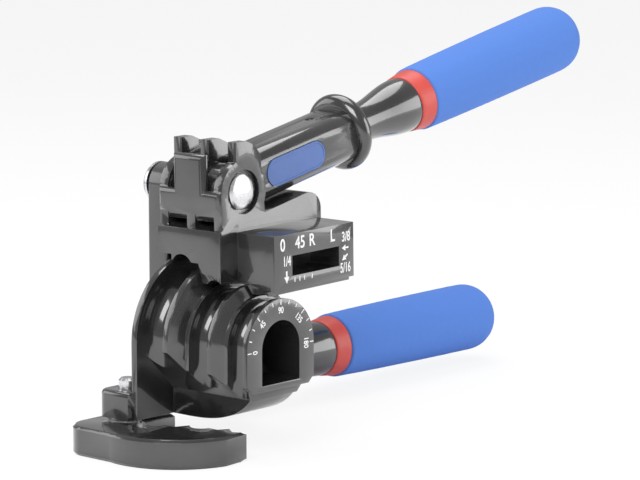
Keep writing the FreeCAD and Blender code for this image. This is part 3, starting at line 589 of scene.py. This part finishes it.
@dataclass
class Grip:
    """A soft foam grip: a slightly flared sleeve with a rolled lip and a domed end.

    It lies along its own X axis, from the lip at start to the tip of the dome at end.
    """

    side: str
    body: str
    start: float
    end: float
    bore: float
    near: float
    far: float
    placement: Matrix
    dome: float = 12.0 * MM
    dome_power: float = 2.35
    flare_power: float = 0.8
    lip: float = 0.9 * MM
    mouth: tuple[float, float] = (0.2 * MM, 0.3 * MM)
    wall: float = 1.0 * MM
    skin: float = 0.05 * MM
    coarse_scale: float = 450.0
    fine_scale: float = 1200.0
    fine_share: float = 0.6
    lip_rows: int = 6
    rows: int = 120
    dome_rows: int = 32
    sides: int = 160

    def radius_at(self, along: float) -> float:
        """Work out the sleeve's radius.

        Args:
            along: the place along the grip in metres.

        Returns:
            The radius there in metres.
        """
        share = (along - self.start) / (self.end - self.start)
        radius = self.near + (self.far - self.near) * math.sin(0.5 * math.pi * share) ** self.flare_power
        lead = along - self.start
        if lead < self.lip:
            radius -= self.lip - math.sqrt(max(self.lip ** 2 - (self.lip - lead) ** 2, 0.0))
        left = self.end - along
        if left < self.dome:
            depth = (self.dome - left) / self.dome
            radius *= math.sqrt(max(1.0 - depth ** self.dome_power, 0.0))
        return radius

    def profile(self) -> list[tuple[float, float]]:
        """Draw the outline from the bore over the lip and along to the tip of the dome.

        Returns:
            (along, radius) pairs in metres.
        """
        inset, widening = self.mouth
        straight = self.end - self.dome - self.start - self.lip
        places = [self.start + self.lip * (row / self.lip_rows) ** 2 for row in range(self.lip_rows)]
        places += [self.start + self.lip + straight * row / self.rows for row in range(self.rows)]
        places += [self.end - self.dome * (1 - math.sin(0.5 * math.pi * row / self.dome_rows))
                   for row in range(self.dome_rows + 1)]
        bore = [(self.start + inset, self.bore), (self.start, self.bore + widening)]
        return bore + [(along, self.radius_at(along)) for along in places]

    def build(self) -> bpy.types.Object:
        """Model the grip and put it on its handle.

        Returns:
            The finished grip.
        """
        mesh = turned(self.profile(), self.sides)
        bmesh.ops.recalc_face_normals(mesh, faces=mesh.faces)
        mesh.normal_update()
        for vertex in mesh.verts:
            if math.hypot(vertex.co.y, vertex.co.z) > self.bore + self.wall:
                coarse = noise.noise(vertex.co * self.coarse_scale)
                swell = coarse + self.fine_share * noise.noise(vertex.co * self.fine_scale)
                vertex.co += vertex.normal * swell * self.skin
        bmesh.ops.transform(mesh, matrix=self.placement, verts=mesh.verts)
        grip = new_piece(f"{self.side}_grip_foam", mesh, Finish.FOAM, self.body)
        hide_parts(f"{self.side}_foam_grip")
        return grip


# ------------------------------------------------------------------ marks


class Way(Enum):
    """Which way an arrow points, in degrees anticlockwise from the right."""

    DOWN = -90.0
    LEFT = 180.0
    SLANT = 215.0


class Label(NamedTuple):
    """A word or number, with its middle and its height in millimetres."""

    words: str
    x: float
    z: float
    height: float
    squeeze: float = 0.85


class Pointer(NamedTuple):
    """An arrow, with its middle and its length in millimetres."""

    way: Way
    x: float
    z: float
    length: float


@dataclass
class MarkSet:
    """Painted marks on one flat face that looks along -Y.

    The sizes of a letter are shares of its height, and an arrow's are shares of its length.
    """

    name: str
    body: str
    placement: Matrix
    proud: float = 0.06 * MM
    depth: float = 0.1 * MM
    letter_size: float = 1.38
    letter_swell: float = 0.022
    head_radius: float = 0.42
    head_shift: float = 0.25
    shaft_shift: float = 0.22
    shaft_length: float = 0.56
    shaft_width: float = 0.2
    mesh: bmesh.types.BMesh = field(default_factory=bmesh.new)

    def text(self, words: str, x: float, z: float, height: float, turn: float = 0.0,
             squeeze: float = 0.85) -> None:
        """Add a word or number.

        Args:
            words: what is written.
            x: middle of the words on the face, in metres.
            z: middle of the words on the face, in metres.
            height: height of a figure, in metres.
            turn: anticlockwise turn in radians.
            squeeze: width of the figures over their usual width.
        """
        curve = bpy.data.curves.new("figures", "FONT")
        curve.body = words
        curve.align_x = "CENTER"
        curve.align_y = "CENTER"
        curve.size = height * self.letter_size
        curve.offset = height * self.letter_swell
        curve.extrude = self.depth / 2
        holder = bpy.data.objects.new("figures", curve)
        bpy.context.scene.collection.objects.link(holder)
        bpy.context.view_layer.update()
        graph = bpy.context.evaluated_depsgraph_get()
        data = bpy.data.meshes.new_from_object(holder.evaluated_get(graph))
        letters = bmesh.new()
        letters.from_mesh(data)
        bmesh.ops.scale(letters, vec=(squeeze, 1.0, 1.0), verts=letters.verts)
        self._add(letters, x, z, turn)
        bpy.data.objects.remove(holder)
        bpy.data.meshes.remove(data)

    def bar(self, x: float, z: float, length: float, width: float, turn: float) -> None:
        """Add a straight tick.

        Args:
            x: middle of the tick on the face, in metres.
            z: middle of the tick on the face, in metres.
            length: its length along its turn, in metres.
            width: its width across that, in metres.
            turn: anticlockwise turn in radians.
        """
        tick = bmesh.new()
        bmesh.ops.create_cube(tick, size=1.0)
        bmesh.ops.scale(tick, vec=(length, width, self.depth), verts=tick.verts)
        self._add(tick, x, z, turn)

    def arrow(self, x: float, z: float, length: float, way: Way) -> None:
        """Add a solid arrow.

        Args:
            x: middle of the arrow on the face, in metres.
            z: middle of the arrow on the face, in metres.
            length: its length in metres.
            way: which way it points.
        """
        turn = math.radians(way.value)
        ahead = Vector((math.cos(turn), math.sin(turn))) * length
        radius = length * self.head_radius
        head = bmesh.new()
        bmesh.ops.create_cone(head, cap_ends=True, segments=3, radius1=radius, radius2=radius,
                              depth=self.depth)
        tip = ahead * self.head_shift
        self._add(head, x + tip.x, z + tip.y, turn - math.pi / 2)
        tail = ahead * self.shaft_shift
        self.bar(x - tail.x, z - tail.y, length * self.shaft_length, length * self.shaft_width, turn)

    def _add(self, part: bmesh.types.BMesh, x: float, z: float, turn: float) -> None:
        """Move a flat part onto the face and join it to the set.

        Args:
            part: the part, lying in its own XY plane; it is freed here.
            x: its middle on the face, in metres.
            z: its middle on the face, in metres.
            turn: anticlockwise turn in radians.
        """
        spin = Matrix.Rotation(turn, 4, "Z")
        shift = Matrix.Translation((x, -self.proud + self.depth / 2, z))
        bmesh.ops.transform(part, matrix=self.placement @ shift @ UPRIGHT @ spin, verts=part.verts)
        data = bpy.data.meshes.new("part_of_marks")
        part.to_mesh(data)
        part.free()
        self.mesh.from_mesh(data)
        bpy.data.meshes.remove(data)

    def build(self) -> bpy.types.Object:
        """Return the marks as one painted piece."""
        return new_piece(self.name, self.mesh, Finish.MARK, self.body, smooth=False)


@dataclass
class DieScale:
    """The half-round degree scale on the front of the die."""

    layout: Layout
    span: int = 180
    step: int = 15
    number_step: int = 45
    tick_middle: float = 14.9 * MM
    long_tick: float = 1.7 * MM
    short_tick: float = 1.25 * MM
    tick_width: float = 0.34 * MM
    number_middle: float = 12.15 * MM
    number_height: float = 2.15 * MM

    def build(self) -> None:
        """Paint the ticks and the numbers, with 0 at the left and the span at the right."""
        marks = MarkSet("die_scale_marks", "die", Matrix.Translation(self.layout.bend_axis))
        for degrees in range(0, self.span + 1, self.step):
            angle = math.radians(self.span - degrees)
            across, up = math.cos(angle), math.sin(angle)
            numbered = degrees % self.number_step == 0
            length = self.long_tick if numbered else self.short_tick
            marks.bar(self.tick_middle * across, self.tick_middle * up, length, self.tick_width, angle)
            if numbered:
                marks.text(str(degrees), self.number_middle * across, self.number_middle * up,
                           self.number_height, angle - math.pi / 2)
        marks.build()


@dataclass
class ShoeMarks:
    """The marks on the scale plate of the forming shoe.

    The places are in millimetres right of and above the main pin's axis, on the plate's face.
    """

    layout: Layout
    marks: tuple[Label | Pointer, ...] = (
        Label("0", 0.6, -16.2, 4.1),
        Label("45", 9.0, -16.2, 4.1),
        Label("R", 14.8, -16.2, 4.1),
        Label("L", 24.9, -16.2, 4.1),
        Label("3/8", 31.6, -17.3, 3.3, 0.72),
        Pointer(Way.LEFT, 31.4, -20.9, 2.8),
        Pointer(Way.SLANT, 31.2, -23.9, 2.8),
        Label("5/16", 31.2, -27.6, 3.3, 0.64),
        Label("1/4", 2.5, -21.6, 3.3, 0.66),
        Pointer(Way.DOWN, 2.3, -26.4, 3.4))
    ticks: tuple[float, ...] = (6.2, 8.6, 10.9, 14.6)
    tick_row: float = -27.9
    tick_length: float = 1.5
    tick_width: float = 0.35

    def build(self) -> None:
        """Paint the bend marks above the window, the tube sizes beside it and the ticks below."""
        pin = self.layout.main_pin
        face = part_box("forming_shoe")[0].y
        tilt = Matrix.Rotation(-self.layout.shoe_tilt, 4, "Y")
        plate = MarkSet("shoe_marks", "shoe", Matrix.Translation((pin.x, face, pin.z)) @ tilt)
        for mark in self.marks:
            x, z = mark.x * MM, mark.z * MM
            if isinstance(mark, Label):
                plate.text(mark.words, x, z, mark.height * MM, squeeze=mark.squeeze)
            else:
                plate.arrow(x, z, mark.length * MM, mark.way)
        for x in self.ticks:
            plate.bar(x * MM, self.tick_row * MM, self.tick_length * MM, self.tick_width * MM, math.pi / 2)
        plate.build()


# ------------------------------------------------------------------ badge


@dataclass
class Badge:
    """The bare enamel badge on the lever: a raised rim round a plain field."""

    layout: Layout
    rim: float = 0.55 * MM
    step: float = 0.22 * MM
    step_width: float = 0.15 * MM
    sides: int = 64

    def build(self) -> None:
        """Model the badge over the plain plate that it stands for."""
        low, high = self.layout.lever_box("badge_plate")
        centre = (low + high) / 2
        radius = (high.z - low.z) / 2
        reach = (high.x - low.x) / 2 - radius
        mesh = bmesh.new()
        bmesh.ops.create_circle(mesh, cap_ends=True, segments=self.sides, radius=radius)
        for vertex in mesh.verts:
            vertex.co.x += reach if vertex.co.x > 0 else -reach
        grown = bmesh.ops.extrude_face_region(mesh, geom=mesh.faces[:])
        lifted = [item for item in grown["geom"] if isinstance(item, bmesh.types.BMVert)]
        bmesh.ops.translate(mesh, vec=(0, 0, high.y - low.y), verts=lifted)
        for width, sink in ((self.rim, 0.0), (self.step_width, self.step)):
            bmesh.ops.inset_region(mesh, faces=[self._field(mesh)], thickness=width, depth=-sink)
        place = Matrix.Translation((centre.x, high.y, centre.z))
        bmesh.ops.transform(mesh, matrix=self.layout.lever @ place @ UPRIGHT, verts=mesh.verts)
        badge = new_piece("lever_badge", mesh, Finish.BADGE, "lever", smooth=False)
        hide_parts("badge_plate")

    def _field(self, mesh: bmesh.types.BMesh) -> bmesh.types.BMFace:
        """Return the highest of the faces that have a corner for every side."""
        whole = (face for face in mesh.faces if len(face.verts) >= self.sides)
        return max(whole, key=lambda face: face.calc_center_median().z)


# ------------------------------------------------------------------ studio


class Lamp(NamedTuple):
    """A soft square lamp that looks at the middle of the tool."""

    name: str
    way: tuple[float, float, float]
    distance: float
    size: float
    power: float


@dataclass
class Studio:
    """White sweep, large soft lamps and the camera.

    The camera looks along its azimuth and elevation, in degrees. It stands off the bend
    axis by its distance, and by aside and above in its own picture.
    """

    layout: Layout
    azimuth: float = -48.7
    elevation: float = 8.65
    distance: float = 0.9
    lens: float = 157.0
    sensor: float = 36.0
    aside: float = 12.6 * MM
    above: float = 34.7 * MM
    floor_half: float = 6.0
    floor_color: Color = (0.92, 0.92, 0.92)
    floor_glow: float = 0.86
    world_light: float = 0.42
    lamps: tuple[Lamp, ...] = (
        Lamp("key", (-0.85, -0.35, 0.7), 0.9, 0.5, 5.0),
        Lamp("fill", (0.75, -0.95, 0.3), 1.0, 0.6, 4.0),
        Lamp("top", (0.15, 0.25, 1.0), 0.9, 0.7, 5.0),
        Lamp("back", (-0.6, 0.9, 0.4), 1.1, 0.7, 3.0))

    def build(self) -> None:
        """Set up the floor, the world, the lamps and the camera."""
        self._floor()
        self._world()
        self._lamps()
        self._camera()
        bpy.context.scene.view_settings.view_transform = "Standard"

    def _floor(self) -> None:
        """Lay a wide pale floor that glows only for the camera and keeps the shadow."""
        mesh = bmesh.new()
        bmesh.ops.create_grid(mesh, x_segments=1, y_segments=1, size=self.floor_half)
        data = bpy.data.meshes.new("floor")
        mesh.to_mesh(data)
        mesh.free()
        floor = bpy.data.objects.new("floor", data)
        bpy.context.scene.collection.objects.link(floor)
        shader = Shader("white_floor", Roughness=0.9, Specular_IOR_Level=0.1,
                        Base_Color=(*self.floor_color, 1.0))
        seen = shader.node("ShaderNodeLightPath", {}, {}, "Is Camera Ray")
        surface = Wire(shader, shader.surface.outputs[0])
        glow = shader.node("ShaderNodeEmission", {}, {"Color": WHITE, "Strength": 1.0})
        mix = shader.node("ShaderNodeMixShader", {}, {0: seen * self.floor_glow, 1: surface, 2: glow})
        shader.tree.links.new(mix.socket, shader.tree.nodes["Material Output"].inputs["Surface"])
        data.materials.append(shader.material)

    def _world(self) -> None:
        """Make a surround that is white to the camera and lights the tool more softly."""
        world = bpy.data.worlds.new("surround")
        bpy.context.scene.world = world
        world.use_nodes = True
        tree = world.node_tree
        ground = tree.nodes["Background"]
        ground.inputs["Color"].default_value = WHITE
        ground.inputs["Strength"].default_value = self.world_light
        white = tree.nodes.new("ShaderNodeBackground")
        white.inputs["Color"].default_value = WHITE
        path = tree.nodes.new("ShaderNodeLightPath")
        either = tree.nodes.new("ShaderNodeMath")
        either.operation = "MAXIMUM"
        tree.links.new(path.outputs["Is Camera Ray"], either.inputs[0])
        tree.links.new(path.outputs["Is Transmission Ray"], either.inputs[1])
        mix = tree.nodes.new("ShaderNodeMixShader")
        tree.links.new(either.outputs[0], mix.inputs[0])
        tree.links.new(ground.outputs[0], mix.inputs[1])
        tree.links.new(white.outputs[0], mix.inputs[2])
        tree.links.new(mix.outputs[0], tree.nodes["World Output"].inputs["Surface"])

    def _lamps(self) -> None:
        """Hang the lamps round the tool."""
        centre = (CAD_LOW + CAD_HIGH) / 2
        for lamp in self.lamps:
            light = bpy.data.lights.new(lamp.name, "AREA")
            light.size = lamp.size
            light.energy = lamp.power
            holder = bpy.data.objects.new(lamp.name, light)
            holder.location = centre + Vector(lamp.way).normalized() * lamp.distance
            holder.rotation_mode = "QUATERNION"
            holder.rotation_quaternion = (centre - holder.location).to_track_quat("-Z", "Y")
            bpy.context.scene.collection.objects.link(holder)

    def _camera(self) -> None:
        """Stand the camera to the front left of the die, a little above it."""
        azimuth, elevation = math.radians(self.azimuth), math.radians(self.elevation)
        right = Vector((math.cos(azimuth), math.sin(azimuth), 0.0))
        back = Vector((math.sin(azimuth) * math.cos(elevation), -math.cos(azimuth) * math.cos(elevation),
                       math.sin(elevation)))
        up = back.cross(right)
        data = bpy.data.cameras.new("camera")
        data.lens = self.lens
        data.sensor_width = self.sensor
        data.clip_start = 0.05
        data.clip_end = 20.0
        camera = bpy.data.objects.new("camera", data)
        camera.location = self.layout.bend_axis + back * self.distance + right * self.aside + up * self.above
        camera.rotation_mode = "QUATERNION"
        camera.rotation_quaternion = (-back).to_track_quat("-Z", "Y")
        bpy.context.scene.collection.objects.link(camera)
        bpy.context.scene.camera = camera


# ------------------------------------------------------------------ assembly


def build_grips(layout: Layout, taper: float = 1.1 * MM) -> None:
    """Build both foam grips on the places of their plain CAD solids.

    Args:
        layout: the shared places.
        taper: how much thinner a grip is at its lip than at its far end, in metres.
    """
    bore = layout.radius_of("upper_handle_rod")
    far = layout.radius_of("upper_foam_grip")
    near = far - taper
    start, end = (corner.x for corner in layout.lever_box("upper_foam_grip"))
    Grip("upper", "lever", start, end, bore, near, far, layout.lever).build()
    low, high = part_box("lower_foam_grip")
    axis = Matrix.Translation((0.0, (low.y + high.y) / 2, (low.z + high.z) / 2))
    Grip("lower", "die", low.x, high.x, bore, near, far, axis).build()


def main() -> None:
    """Build the looks in order."""
    logging.basicConfig(level=logging.INFO, format="%(message)s")
    layout = Layout()
    Construction().dress()
    build_grips(layout)
    Badge(layout).build()
    DieScale(layout).build()
    ShoeMarks(layout).build()
    Studio(layout).build()


if __name__ == "__main__":
    main()
